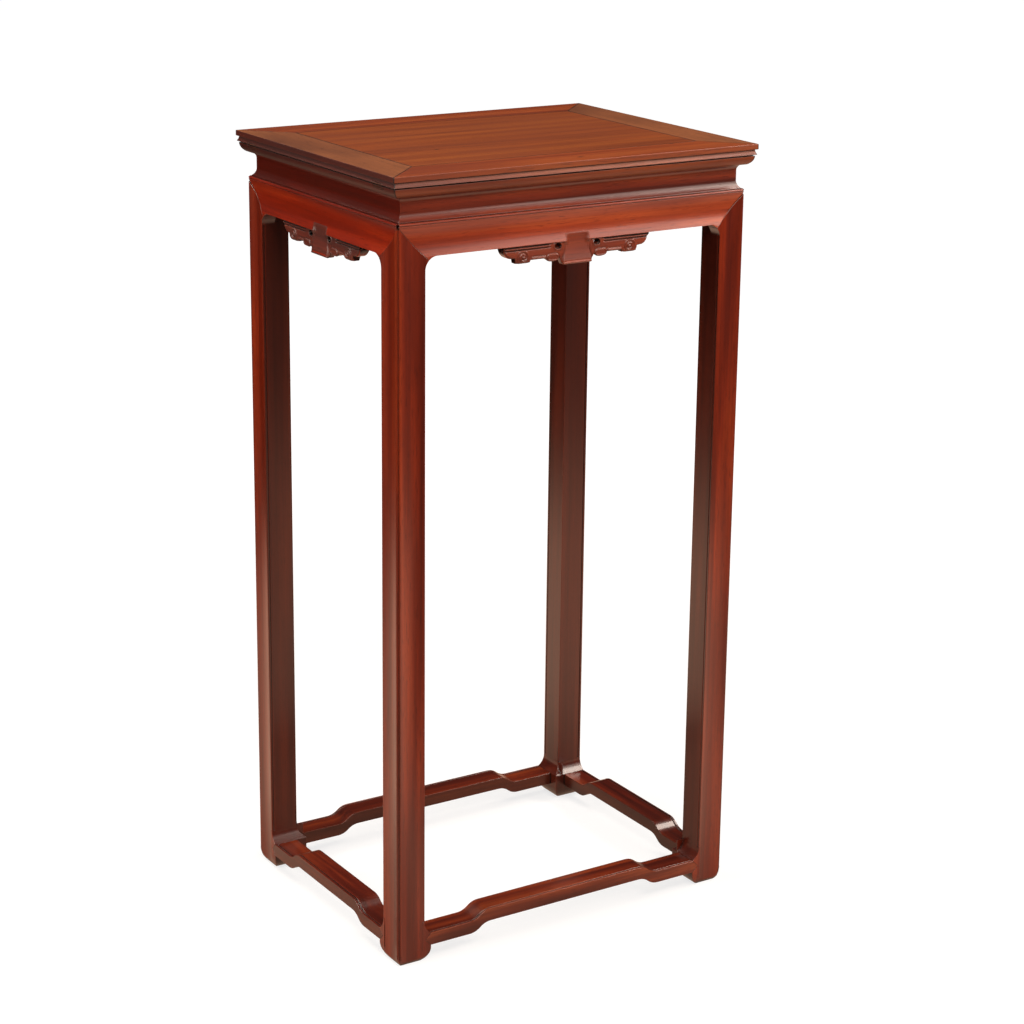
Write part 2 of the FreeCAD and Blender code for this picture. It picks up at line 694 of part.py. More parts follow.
def make_leg(corner):
    """Square leg with hollow outer faces and an indented corner, from foot to top tenons."""
    place = corners_of_stand[corner]
    body = new_body(f"leg_{corner}")
    size = "Sizes.leg_size"
    notch = "Sizes.corner_notch"
    bead_end = "Sizes.edge_bead"
    groove_end = "(Sizes.edge_bead + Sizes.edge_groove_width)"
    groove_floor = "(Sizes.leg_size - Sizes.edge_groove_depth)"
    # Going round from the notch: one outer face, two inner faces with their bead lines, the other face.
    section = [
        (notch, notch),
        (notch, "0"),
        (size, "0"),
        (size, bead_end),
        (groove_floor, bead_end),
        (groove_floor, groove_end),
        (size, groove_end),
        (size, size),
        (groove_end, size),
        (groove_end, groove_floor),
        (bead_end, groove_floor),
        (bead_end, size),
        ("0", size),
        ("0", notch),
    ]
    hollow = swept_radius("Sizes.leg_size - Sizes.corner_notch", "Sizes.leg_hollow")
    prism(body, "shaft", "XY_Plane", [(section, {1: (hollow, "right"), 12: (hollow, "right")})],
          "0", mitre_top)
    prism(body, "shoulder_block", "XY_Plane", [rectangle(block_start, block_start, size, size)],
          f"{mitre_top} - {beyond}", shoulder)
    prism(body, "post", "XY_Plane", [rectangle(post_start, post_start, size, size)],
          f"{shoulder} - {beyond}", underside)

    # The aprons' skins cover the outer faces above the mitres.
    above_mitre = [
        (f"-{beyond}", f"{mitre_top} + {beyond}"),
        (f"-{beyond}", mitre_top),
        ("0", mitre_top),
        (size, apron_foot),
        (f"{size} + {beyond}", apron_foot),
        (f"{size} + {beyond}", f"{mitre_top} + {beyond}"),
    ]
    on_both_faces(body, "skin_seat", (above_mitre, {}), f"-{beyond}", block_start, cut=True)

    spot = opening_corner(size, apron_foot, "+")
    loop = [spot["sharp"], spot["on_leg"], spot["halfway"]]
    on_both_faces(body, "opening_round", (loop, {1: ("Sizes.opening_radius", "right")}),
                  "0", "Sizes.apron_thickness")

    mortise = rectangle(
        f"{size} - Sizes.apron_tenon_length - Sizes.tenon_end_gap",
        f"{apron_tenon_bottom} - Sizes.joint_clearance",
        f"{size} + {beyond}",
        f"{apron_tenon_top} + Sizes.joint_clearance")
    on_both_faces(body, "apron_mortise", mortise, "Sizes.apron_tenon_inset - Sizes.joint_clearance",
                  "Sizes.apron_tenon_inset + Sizes.apron_tenon_thickness + Sizes.joint_clearance", cut=True)

    # The foot swells inward to take the stretchers.
    web = f"({groove_floor} - {beyond})"
    swell = [
        (web, "0"),
        (base_size, "0"),
        (base_size, base_size),
        ("0", base_size),
        ("0", web),
        (web, web),
    ]
    prism(body, "foot_swell", "XY_Plane", [(swell, {})], "0", base_top)
    flare_top = f"{base_top} + Sizes.base_flare_height"
    flare_radius = turned_radius("Sizes.base_flare_height", "Sizes.base_flare")
    flare = [
        (web, base_top),
        (base_size, base_top),
        (size, flare_top),
        (web, flare_top),
    ]
    flare_arc = {1: (flare_radius, "right")}
    prism(body, "flare_first", "XZ_Plane", [(flare, flare_arc)], "0", base_size)
    over_flare = [
        (base_size, base_top),
        (f"{base_size} + {beyond}", base_top),
        (f"{base_size} + {beyond}", f"{flare_top} + {beyond}"),
        (size, f"{flare_top} + {beyond}"),
        (size, flare_top),
    ]
    prism(body, "flare_hip", "YZ_Plane", [(over_flare, {4: (flare_radius, "left")})],
          size, f"{base_size} + {beyond}", cut=True)
    prism(body, "flare_second", "YZ_Plane", [(flare, flare_arc)], "0", size)

    tenon_mortise = rectangle(
        f"{base_size} - Sizes.stretcher_tenon_length - Sizes.tenon_end_gap",
        f"{stretcher_tenon_bottom} - Sizes.joint_clearance",
        f"{base_size} + {beyond}",
        f"{stretcher_tenon_top} + Sizes.joint_clearance")
    on_both_faces(
        body, "stretcher_mortise", tenon_mortise,
        "Sizes.stretcher_tenon_inset - Sizes.joint_clearance",
        "Sizes.stretcher_tenon_inset + Sizes.stretcher_tenon_width + Sizes.joint_clearance", cut=True)
    point_seat = [
        (f"{base_size} + {beyond}", base_bottom),
        (f"{base_size} + {beyond}", base_top),
        (base_size, base_top),
        (f"{base_size} - Sizes.stretcher_point", base_middle),
        (base_size, base_bottom),
    ]
    on_both_faces(body, "point_seat", (point_seat, {}), f"-{beyond}",
                  "Sizes.stretcher_skin + Sizes.joint_clearance", cut=True)

    # All four lower edges of the foot are rounded.
    outer_radius = turned_radius("Sizes.foot_rise", "Sizes.foot_outer_inset")
    outer_round = [
        (f"-{beyond}", f"-{beyond}"),
        ("Sizes.foot_outer_inset", f"-{beyond}"),
        ("Sizes.foot_outer_inset", "0"),
        ("0", "Sizes.foot_rise"),
        (f"-{beyond}", "Sizes.foot_rise"),
    ]
    on_both_faces(body, "outer_foot_round", (outer_round, {2: (outer_radius, "right")}),
                  f"-{beyond}", f"{base_size} + {beyond}", cut=True)
    inner_radius = turned_radius("Sizes.foot_rise", "Sizes.foot_inner_inset")
    inner_round = [
        (f"{base_size} + {beyond}", f"-{beyond}"),
        (f"{base_size} + {beyond}", "Sizes.foot_rise"),
        (base_size, "Sizes.foot_rise"),
        (f"{base_size} - Sizes.foot_inner_inset", "0"),
        (f"{base_size} - Sizes.foot_inner_inset", f"-{beyond}"),
    ]
    on_both_faces(body, "inner_foot_round", (inner_round, {2: (inner_radius, "right")}),
                  f"-{beyond}", f"{base_size} + {beyond}", cut=True)

    # The long tenon goes into the long rail, the short one under the frame tenon in the short rail.
    first, second = "Sizes.leg_long_tenon", "Sizes.leg_short_tenon"
    if not place["long_first"]:
        first, second = second, first
    prism(body, "top_tenon_first", "XY_Plane",
          [rectangle(far_tenon[0], near_tenon[0], far_tenon[1], near_tenon[1])],
          f"{underside} - {beyond}", f"{underside} + {first}")
    prism(body, "top_tenon_second", "XY_Plane",
          [rectangle(near_tenon[0], far_tenon[0], near_tenon[1], far_tenon[1])],
          f"{underside} - {beyond}", f"{underside} + {second}")

    body.Placement = FreeCAD.Placement(
        FreeCAD.Vector(0, 0, 0), FreeCAD.Rotation(FreeCAD.Vector(0, 0, 1), place["turn"]))
    body.setExpression("Placement.Base.x", f"{place['across']}({half_width} - {face})")
    body.setExpression("Placement.Base.y", f"{place['along']}({half_depth} - {face})")
    return body


def hump(length, low, drop):
    """Outline of a humped stretcher whose upper edge is lowered by the drop."""
    bend_end = f"({length} - {low})"
    bend_middle = f"({bend_end} - Sizes.stretcher_bend / 2)"
    bend_start = f"({bend_end} - Sizes.stretcher_bend)"
    upper = f"({base_top} - {drop})"
    lower = base_bottom
    rise = "Sizes.stretcher_rise"
    right_upper = [
        (bend_start, f"{upper} + {rise}"),
        (bend_middle, f"{upper} + {rise} / 2"),
        (bend_end, upper),
        (length, upper),
    ]
    right_lower = [
        (length, lower),
        (bend_end, lower),
        (bend_middle, f"{lower} + {rise} / 2"),
        (bend_start, f"{lower} + {rise}"),
    ]
    right = right_upper + right_lower
    left = [(f"-({across})", up) for across, up in reversed(right)]
    radius = turned_radius("Sizes.stretcher_bend / 2", f"{rise} / 2")
    arcs = {
        0: (radius, "right"),
        1: (radius, "left"),
        5: (radius, "right"),
        6: (radius, "left"),
        8: (radius, "left"),
        9: (radius, "right"),
        13: (radius, "left"),
        14: (radius, "right"),
    }
    return right + left, arcs


def make_stretcher(side):
    """Humped stretcher near the floor, with pointed shoulders on its face and tenons behind."""
    run, reach = sides[side]["run"], sides[side]["reach"]
    low = "Sizes.stretcher_low_long" if sides[side]["long"] else "Sizes.stretcher_low_short"
    body = new_body(f"stretcher_{side}")
    length = f"({run} - {base_inside})"
    groove_start = f"{face} + Sizes.edge_bead"
    groove_end = f"{groove_start} + Sizes.edge_groove_width"
    back = in_from(reach, f"{face} + Sizes.stretcher_depth")
    prism(body, "bar", "XZ_Plane", [hump(length, low, "Sizes.edge_groove_depth")],
          in_from(reach, face), back)
    prism(body, "edge_bead", "XZ_Plane", [hump(length, low, "0")],
          in_from(reach, face), in_from(reach, groove_start))
    prism(body, "flat_top", "XZ_Plane", [hump(length, low, "0")], in_from(reach, groove_end), back)
    point = [
        (f"{length} - {beyond}", base_bottom),
        (length, base_bottom),
        (f"{length} + Sizes.stretcher_point", base_middle),
        (length, base_top),
        (f"{length} - {beyond}", base_top),
    ]
    prism(body, "pointed_shoulders", "XZ_Plane", both_ends(point),
          in_from(reach, face), in_from(reach, f"{face} + Sizes.stretcher_skin"))
    tenon_front = f"{face} + Sizes.stretcher_tenon_inset"
    tenon = rectangle(f"{length} - {beyond}", stretcher_tenon_bottom,
                      f"{length} + Sizes.stretcher_tenon_length", stretcher_tenon_top)
    prism(body, "tenons", "XZ_Plane", both_ends(tenon[0]), in_from(reach, tenon_front),
          in_from(reach, f"{tenon_front} + Sizes.stretcher_tenon_width"))
    turn_about_axis(body, sides[side]["turn"])
    return body


pieces = [make_panel(), make_batten("panel_batten_left", "-"), make_batten("panel_batten_right", "")]
for side in sides:
    pieces += [make_rail(side), make_waist(side), make_apron(side), make_stretcher(side)]
for corner in corners_of_stand:
    pieces.append(make_leg(corner))

doc.recompute()
for item in doc.Objects:
    if "Invalid" in item.State or "Error" in item.State:
        raise RuntimeError(f"{item.Label} failed: {item.State}")
for piece in pieces:
    if piece.Shape.isNull() or not piece.Shape.isValid() or len(piece.Shape.Solids) != 1:
        raise RuntimeError(f"{piece.Label} is not one valid solid")

os.makedirs("parts", exist_ok=True)
for piece in pieces:
    piece.Shape.exportStep(f"parts/{piece.Label}.step")
    print(f"{piece.Label}: {piece.Shape.Volume / 1000:.1f} cm3")
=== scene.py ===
import math
import bpy
import bmesh
from mathutils import Matrix, Vector


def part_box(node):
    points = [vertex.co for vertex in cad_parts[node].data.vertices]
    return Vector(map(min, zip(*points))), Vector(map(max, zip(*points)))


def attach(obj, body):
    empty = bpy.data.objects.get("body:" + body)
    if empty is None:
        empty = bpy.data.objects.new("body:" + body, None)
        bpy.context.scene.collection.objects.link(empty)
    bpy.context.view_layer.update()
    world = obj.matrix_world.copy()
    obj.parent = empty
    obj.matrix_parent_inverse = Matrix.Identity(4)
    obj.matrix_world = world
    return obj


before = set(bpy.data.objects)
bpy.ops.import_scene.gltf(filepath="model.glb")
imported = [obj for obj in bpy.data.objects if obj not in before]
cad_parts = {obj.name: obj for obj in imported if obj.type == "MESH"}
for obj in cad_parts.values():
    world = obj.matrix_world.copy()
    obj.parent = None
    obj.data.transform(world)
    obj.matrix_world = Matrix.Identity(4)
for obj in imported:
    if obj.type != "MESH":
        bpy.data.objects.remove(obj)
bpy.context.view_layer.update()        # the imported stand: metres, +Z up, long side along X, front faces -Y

scene = bpy.context.scene
scene.view_settings.view_transform = "Standard"
mm = 0.001
print("frame loaded:", len(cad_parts), "pieces of wood")


def linear(hexColour):
    # sRGB hex to linear RGBA
    parts = [int(hexColour[i:i + 2], 16) / 255 for i in (1, 3, 5)]
    return [c / 12.92 if c <= 0.04045 else ((c + 0.055) / 1.055) ** 2.4 for c in parts] + [1.0]


def addNode(tree, kind, settings=None, links=None):
    # one shader node: settings are its properties, links its inputs by name or number
    node = tree.nodes.new("ShaderNode" + kind)
    for name, value in (settings or {}).items():
        setattr(node, name, value)
    for name, value in (links or {}).items():
        if isinstance(value, bpy.types.NodeSocket):
            tree.links.new(value, node.inputs[name])
        else:
            node.inputs[name].default_value = value
    return node


# Hongmu, a dense red rosewood, scraped and waxed by hand and rubbed by long use. The eye gets long
# fine streaks, short dark pores, a satin shine, pale rubbed arrises and black wax in the crevices.
# Sizes are across and along the grain, and the shift keeps the patterns apart.
hongmuPatterns = {
    # broad bands of growth
    "figure": {"across": 16 * mm, "along": 420 * mm, "shift": (3.1, 2.17, 4.03),
               "noise": {"Detail": 4.0, "Roughness": 0.55, "Distortion": 0.35}},
    # fine lines within a band
    "streak": {"across": 2.6 * mm, "along": 150 * mm, "shift": (7.7, 5.39, 10.01),
               "noise": {"Detail": 3.0, "Roughness": 0.6, "Distortion": 0.0}},
    # real pores are 0.2 mm wide, drawn wider to show
    "pore": {"across": 0.9 * mm, "along": 14 * mm, "shift": (1.9, 1.33, 2.47),
             "noise": {"Detail": 1.0, "Roughness": 0.5, "Distortion": 0.0}},
    # patches of deeper polish
    "patch": {"across": 95 * mm, "along": 190 * mm, "shift": (5.3, 3.71, 6.89),
              "noise": {"Detail": 2.0, "Roughness": 0.5, "Distortion": 0.0}},
    # crumbs of old wax
    "crumb": {"across": 1.5 * mm, "along": 1.5 * mm, "shift": (9.2, 6.44, 11.96),
              "noise": {"Detail": 1.0, "Roughness": 0.5, "Distortion": 0.0}},
}
pinKnots = {"across": 30 * mm, "along": 60 * mm, "shift": (4.4, 3.08, 5.72)}

# boards of the short sides carry painted shade: their colours are darker copies of the long sides' boards
hongmuColours = {
    "panel": {"dark": "#672b08", "mid": "#773509", "light": "#824010", "deep": "#4f1f07",
              "knots": 0.85, "dull": 0.2},
    "rail": {"dark": "#632309", "mid": "#7f350d", "light": "#8f4519", "deep": "#481808",
             "knots": 0.85, "dull": 0.16,
             # its tenon ends are moulded with the edge
             "endMask": {"From Min": 0.25, "From Max": 0.55}},
    "railEnd": {"dark": "#2f0802", "mid": "#3c0d04", "light": "#50190b", "deep": "#250702",
                "paintedSheen": "#965a35", "dull": 0.16},
    "waist": {"dark": "#4a150a", "mid": "#6c2410", "light": "#843416", "deep": "#3a0e06", "knots": 0.85},
    "waistEnd": {"dark": "#420d03", "mid": "#5a1305", "light": "#6e1c08", "deep": "#300903"},
    "apron": {"dark": "#6a1f0e", "mid": "#8c3216", "light": "#a84824", "deep": "#54150a"},
    "apronEnd": {"dark": "#641404", "mid": "#821e05", "light": "#9c2e0b", "deep": "#480f04"},
    "leg": {"dark": "#541405", "mid": "#701f08", "light": "#882d0e", "deep": "#3c0c04"},
    "stretcher": {"dark": "#481306", "mid": "#6e250d", "light": "#96411c", "deep": "#3a0e05"},
    "stretcherEnd": {"dark": "#3c0f05", "mid": "#58190a", "light": "#7c3014", "deep": "#300a04"},
    "pendant": {"dark": "#5a1c0b", "mid": "#782b11", "light": "#984722", "deep": "#380e06", "dull": 0.12},
    "pendantEnd": {"dark": "#40130a", "mid": "#561b0c", "light": "#78321a", "deep": "#2a0a04", "dull": 0.2},
    "hidden": {"dark": "#4d2012", "mid": "#6a3420", "light": "#7d4530", "deep": "#3d170c"},
}

# a mask is 0 at From Min and at its full strength, To Max, at From Max
hongmuFinish = {
    "bandStops": {"dark": 0.34, "mid": 0.5, "light": 0.68},
    "streakShade": {"From Min": 0.3, "From Max": 0.7, "To Min": 0.82, "To Max": 1.14},
    # painted sheen on upward faces
    "topSheenMask": {"From Min": 0.7, "From Max": 0.97, "To Max": 0.68},
    "poreMask": {"From Min": 0.6, "From Max": 0.72, "To Max": 0.55},
    "knotMask": {"From Min": 0.078, "From Max": 0.036},         # share of the knots' spacing
    "patchMask": {"From Min": 0.45, "From Max": 0.75, "To Max": 0.6},
    "endMask": {"From Min": 0.8, "From Max": 0.97, "To Max": 0.85},
    "endGrain": "#1a0704",
    "innerMask": {"From Min": -0.05, "From Max": -0.4, "To Max": 0.66},
    "innerTone": "#2a0c06",
    "arrisWidth": 1.3 * mm, "arrisSamples": 4,
    "arrisMask": {"From Min": 0.99, "From Max": 0.86, "To Max": 0.35},
    "arrisClear": {"From Min": 0.85, "From Max": 0.97},
    # crevices and seams: painted shade, partly black wax at the joints
    "creviceReach": 4.6 * mm, "creviceSamples": 8,
    "creviceShadeMask": {"From Min": 0.79, "From Max": 0.44, "To Max": 0.95},
    "seamReach": 1.1 * mm,
    "seamAndShadeMask": {"From Min": 0.92, "From Max": 0.68, "To Max": 0.92},
    "waxAndShadeBlack": "#0c0503",
    "crumbMask": {"From Min": 0.75, "From Max": 0.8, "To Max": 0.5},
    "waxPale": "#b9a593",
    "sheenFrom": 0.3, "sheenTo": 0.7,               # share of the patch pattern
    "roughness": 0.29, "roughnessSpread": 0.06, "creviceDull": 0.2,
    "ior": 1.5, "coat": 0.7, "coatLoss": 3.0, "coatRoughness": 0.2,
    "poreDepth": 0.12 * mm, "bumpStrength": 0.35,
}

# joints of the top: where the rails meet the panel, and the mitres from there to the corners
topBoards = ("panel", "rail", "railEnd")
topJoint = {"corner": (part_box("top_rail_right")[0][0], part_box("top_rail_back")[0][1], 0),
            "line": {"From Min": 1.3 * mm, "From Max": 0.7 * mm, "To Max": 0.8}}


def topJoints(tree, place, board, waxAndShadeMask):
    # adds the dark joint lines to the mask of painted shade and black wax
    across = addNode(tree, "VectorMath", {"operation": "ABSOLUTE"}, {0: place}).outputs[0]
    beyond = addNode(tree, "VectorMath", {"operation": "SUBTRACT"},
                     {0: across, 1: topJoint["corner"]}).outputs[0]
    sides = addNode(tree, "SeparateXYZ", None, {0: beyond})
    far = addNode(tree, "Math", {"operation": "MAXIMUM"},
                  {0: sides.outputs["X"], 1: sides.outputs["Y"]}).outputs[0]
    away = addNode(tree, "Math", {"operation": "ABSOLUTE"}, {0: far}).outputs[0]
    if board != "panel":
        skew = addNode(tree, "Math", {"operation": "SUBTRACT"},
                       {0: sides.outputs["X"], 1: sides.outputs["Y"]}).outputs[0]
        mitre = addNode(tree, "Math", {"operation": "ABSOLUTE"}, {0: skew}).outputs[0]
        away = addNode(tree, "Math", {"operation": "MINIMUM"}, {0: away, 1: mitre}).outputs[0]
    line = addNode(tree, "MapRange", None, {"Value": away, **topJoint["line"]}).outputs[0]
    return addNode(tree, "Math", {"operation": "MAXIMUM"}, {0: waxAndShadeMask, 1: line}).outputs[0]


def hongmu(board, axis):
    # axis is the way that the grain of the board runs: 0, 1 or 2 for X, Y or Z
    colours, finish = hongmuColours[board], hongmuFinish
    material = bpy.data.materials.new("hongmu_waxed_" + board + "_" + "xyz"[axis])
    material.use_nodes = True
    tree = material.node_tree
    shader = tree.nodes["Principled BSDF"]
    place = addNode(tree, "TexCoord").outputs["Object"]
    facing = addNode(tree, "NewGeometry").outputs["Normal"]

    def stretched(pattern):
        scale = [1 / pattern["across"]] * 3
        scale[axis] = 1 / pattern["along"]
        return addNode(tree, "Mapping", {"vector_type": "POINT"},
                       {"Vector": place, "Scale": scale, "Location": pattern["shift"]}).outputs[0]

    grain = {}
    for name, pattern in hongmuPatterns.items():
        inputs = {"Vector": stretched(pattern), "Scale": 1.0, **pattern["noise"]}
        grain[name] = addNode(tree, "TexNoise", None, inputs).outputs["Fac"]

    # bands of growth, then the fine lines
    bands = addNode(tree, "ValToRGB", None, {"Fac": grain["figure"]})
    for tone, position in finish["bandStops"].items():
        stop = bands.color_ramp.elements.new(position)
        stop.color = linear(colours[tone])
    bands.color_ramp.elements.remove(bands.color_ramp.elements[0])
    bands.color_ramp.elements.remove(bands.color_ramp.elements[-1])
    banded = bands.outputs[0]
    if "paintedSheen" in colours:      # painted sheen: an upward face is mixed toward a paler colour where light shines on it
        upward = addNode(tree, "SeparateXYZ", None, {0: facing}).outputs["Z"]
        topSheenMask = addNode(tree, "MapRange", {"interpolation_type": "SMOOTHSTEP"},
                           {"Value": upward, **finish["topSheenMask"]}).outputs[0]
        banded = addNode(tree, "Mix", {"data_type": "RGBA"},
                         {0: topSheenMask, 6: banded, 7: linear(colours["paintedSheen"])}).outputs[2]
    streakShade = addNode(tree, "MapRange", None,
                          {"Value": grain["streak"], **finish["streakShade"]}).outputs[0]
    colour = addNode(tree, "Mix", {"data_type": "RGBA", "blend_type": "MULTIPLY"},
                     {0: 1.0, 6: banded, 7: streakShade}).outputs[2]

    # pores, pin knots and deeper patches
    poreMask = addNode(tree, "MapRange", None, {"Value": grain["pore"], **finish["poreMask"]}).outputs[0]
    layers = [(poreMask, colours["deep"])]
    if "knots" in colours:
        fromKnot = addNode(tree, "TexVoronoi", None,
                           {"Vector": stretched(pinKnots), "Scale": 1.0}).outputs["Distance"]
        knotMask = addNode(tree, "MapRange", None,
                           {"Value": fromKnot, **finish["knotMask"], "To Max": colours["knots"]}).outputs[0]
        layers.append((knotMask, finish["endGrain"]))
    patchMask = addNode(tree, "MapRange", None, {"Value": grain["patch"], **finish["patchMask"]}).outputs[0]
    layers.append((patchMask, colours["dark"]))

    # end grain drinks the wax and goes nearly black
    along = [0, 0, 0]
    along[axis] = 1
    endwise = addNode(tree, "VectorMath", {"operation": "DOT_PRODUCT"},
                      {0: facing, 1: along}).outputs["Value"]
    endwise = addNode(tree, "Math", {"operation": "ABSOLUTE"}, {0: endwise}).outputs[0]
    endRange = {**finish["endMask"], **colours.get("endMask", {})}
    endMask = addNode(tree, "MapRange", {"interpolation_type": "SMOOTHSTEP"},
                      {"Value": endwise, **endRange}).outputs[0]
    layers.append((endMask, finish["endGrain"]))

    # faces turned to the middle of the stand are made darker
    outward = addNode(tree, "VectorMath", {"operation": "MULTIPLY"}, {0: place, 1: (1, 1, 0)}).outputs[0]
    outward = addNode(tree, "VectorMath", {"operation": "NORMALIZE"}, {0: outward}).outputs[0]
    turned = addNode(tree, "VectorMath", {"operation": "DOT_PRODUCT"},
                     {0: outward, 1: facing}).outputs["Value"]
    innerMask = addNode(tree, "MapRange", {"interpolation_type": "SMOOTHSTEP"},
                        {"Value": turned, **finish["innerMask"]}).outputs[0]
    layers.append((innerMask, finish["innerTone"]))

    # rubbed arrises are paler, but not where two pieces meet
    rounded = addNode(tree, "Bevel", {"samples": finish["arrisSamples"]},
                      {"Radius": finish["arrisWidth"]}).outputs[0]
    likeness = addNode(tree, "VectorMath", {"operation": "DOT_PRODUCT"},
                       {0: rounded, 1: facing}).outputs["Value"]
    arris = addNode(tree, "MapRange", None, {"Value": likeness, **finish["arrisMask"]}).outputs[0]
    seamOpen = addNode(tree, "AmbientOcclusion", {"samples": finish["creviceSamples"]},
                       {"Distance": finish["seamReach"]}).outputs["AO"]
    clear = addNode(tree, "MapRange", None, {"Value": seamOpen, **finish["arrisClear"]}).outputs[0]
    openArris = addNode(tree, "Math", {"operation": "MULTIPLY"}, {0: arris, 1: clear}).outputs[0]
    layers.append((openArris, colours["light"]))

    # crevices and seams darken toward black: painted shade where corners and hollows fall dark, partly black
    # wax at the joints, with pale crumbs of wax
    openness = addNode(tree, "AmbientOcclusion", {"samples": finish["creviceSamples"]},
                       {"Distance": finish["creviceReach"]}).outputs["AO"]
    creviceShadeMask = addNode(tree, "MapRange", None, {"Value": openness, **finish["creviceShadeMask"]}).outputs[0]
    seamAndShadeMask = addNode(tree, "MapRange", None, {"Value": seamOpen, **finish["seamAndShadeMask"]}).outputs[0]
    waxAndShadeMask = addNode(tree, "Math", {"operation": "MAXIMUM"}, {0: creviceShadeMask, 1: seamAndShadeMask}).outputs[0]
    if board in topBoards:
        waxAndShadeMask = topJoints(tree, place, board, waxAndShadeMask)
    layers.append((waxAndShadeMask, finish["waxAndShadeBlack"]))
    crumbMask = addNode(tree, "MapRange", None, {"Value": grain["crumb"], **finish["crumbMask"]}).outputs[0]
    speckMask = addNode(tree, "Math", {"operation": "MULTIPLY"}, {0: crumbMask, 1: creviceShadeMask}).outputs[0]
    layers.append((speckMask, finish["waxPale"]))

    for mask, tone in layers:
        colour = addNode(tree, "Mix", {"data_type": "RGBA"},
                         {0: mask, 6: colour, 7: linear(tone)}).outputs[2]
    tree.links.new(colour, shader.inputs["Base Color"])

    # the top has gone matt with use, and carved work is hard to polish
    dull = colours.get("dull", 0.0)
    lowest = finish["roughness"] + dull
    sheen = addNode(tree, "MapRange", None,
                    {"Value": grain["patch"], "From Min": finish["sheenFrom"], "From Max": finish["sheenTo"],
                     "To Min": lowest, "To Max": lowest + finish["roughnessSpread"]}).outputs[0]
    dulled = addNode(tree, "Math", {"operation": "MULTIPLY_ADD"},
                     {0: creviceShadeMask, 1: finish["creviceDull"], 2: sheen}).outputs[0]
    tree.links.new(dulled, shader.inputs["Roughness"])
    shader.inputs["IOR"].default_value = finish["ior"]
    shader.inputs["Coat Weight"].default_value = finish["coat"] - finish["coatLoss"] * dull
    shader.inputs["Coat Roughness"].default_value = finish["coatRoughness"] + dull
    relief = addNode(tree, "Math", {"operation": "SUBTRACT"}, {0: grain["streak"], 1: poreMask}).outputs[0]
    bump = addNode(tree, "Bump", None, {"Height": relief, "Strength": finish["bumpStrength"],
                                        "Distance": finish["poreDepth"]}).outputs[0]
    tree.links.new(bump, shader.inputs["Normal"])
    return material


boardOf = {"top_panel": "panel", "panel_batten": "hidden", "top_rail": "rail", "waist": "waist",
           "apron": "apron", "leg": "leg", "stretcher": "stretcher", "carved_pendant": "pendant"}
finishes = {}


def grainAxis(name):
    if name.startswith("leg"):
        return 2
    if name.startswith("panel_batten") or name.endswith(("left", "right")):
        return 1
    return 0


def finishFor(name):
    board = next(boardOf[start] for start in boardOf if name.startswith(start))
    # a side piece takes the darker copy of its board's colours: painted shade
    if grainAxis(name) == 1 and board + "End" in hongmuColours:
        board += "End"
    key = (board, grainAxis(name))
    if key not in finishes:
        finishes[key] = hongmu(*key)
    return finishes[key]


# angles in degrees
planing = {"weld": 0.01 * mm, "flatAngle": 0.05, "arris": 0.45 * mm, "arrisAngle": 32, "segments": 2}
for name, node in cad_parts.items():
    node.data.materials.clear()
    node.data.materials.append(finishFor(name))
    weld = node.modifiers.new("joinTriangles", "WELD")
    weld.merge_threshold = planing["weld"]
    flat = node.modifiers.new("flatFaces", "DECIMATE")
    flat.decimate_type = "DISSOLVE"
    flat.angle_limit = math.radians(planing["flatAngle"])
    arris = node.modifiers.new("easedArris", "BEVEL")
    arris.width = planing["arris"]
    arris.segments = planing["segments"]
    arris.limit_method = "ANGLE"
    arris.angle_limit = math.radians(planing["arrisAngle"])
    arris.use_clamp_overlap = False
    arris.loop_slide = False        # keeps the sharp mitre tips inside the wood
    planed = node.modifiers.new("planedFaces", "WEIGHTED_NORMAL")
    planed.mode = "FACE_AREA_WITH_ANGLE"
print("wood dressed:", len(finishes), "finishes")

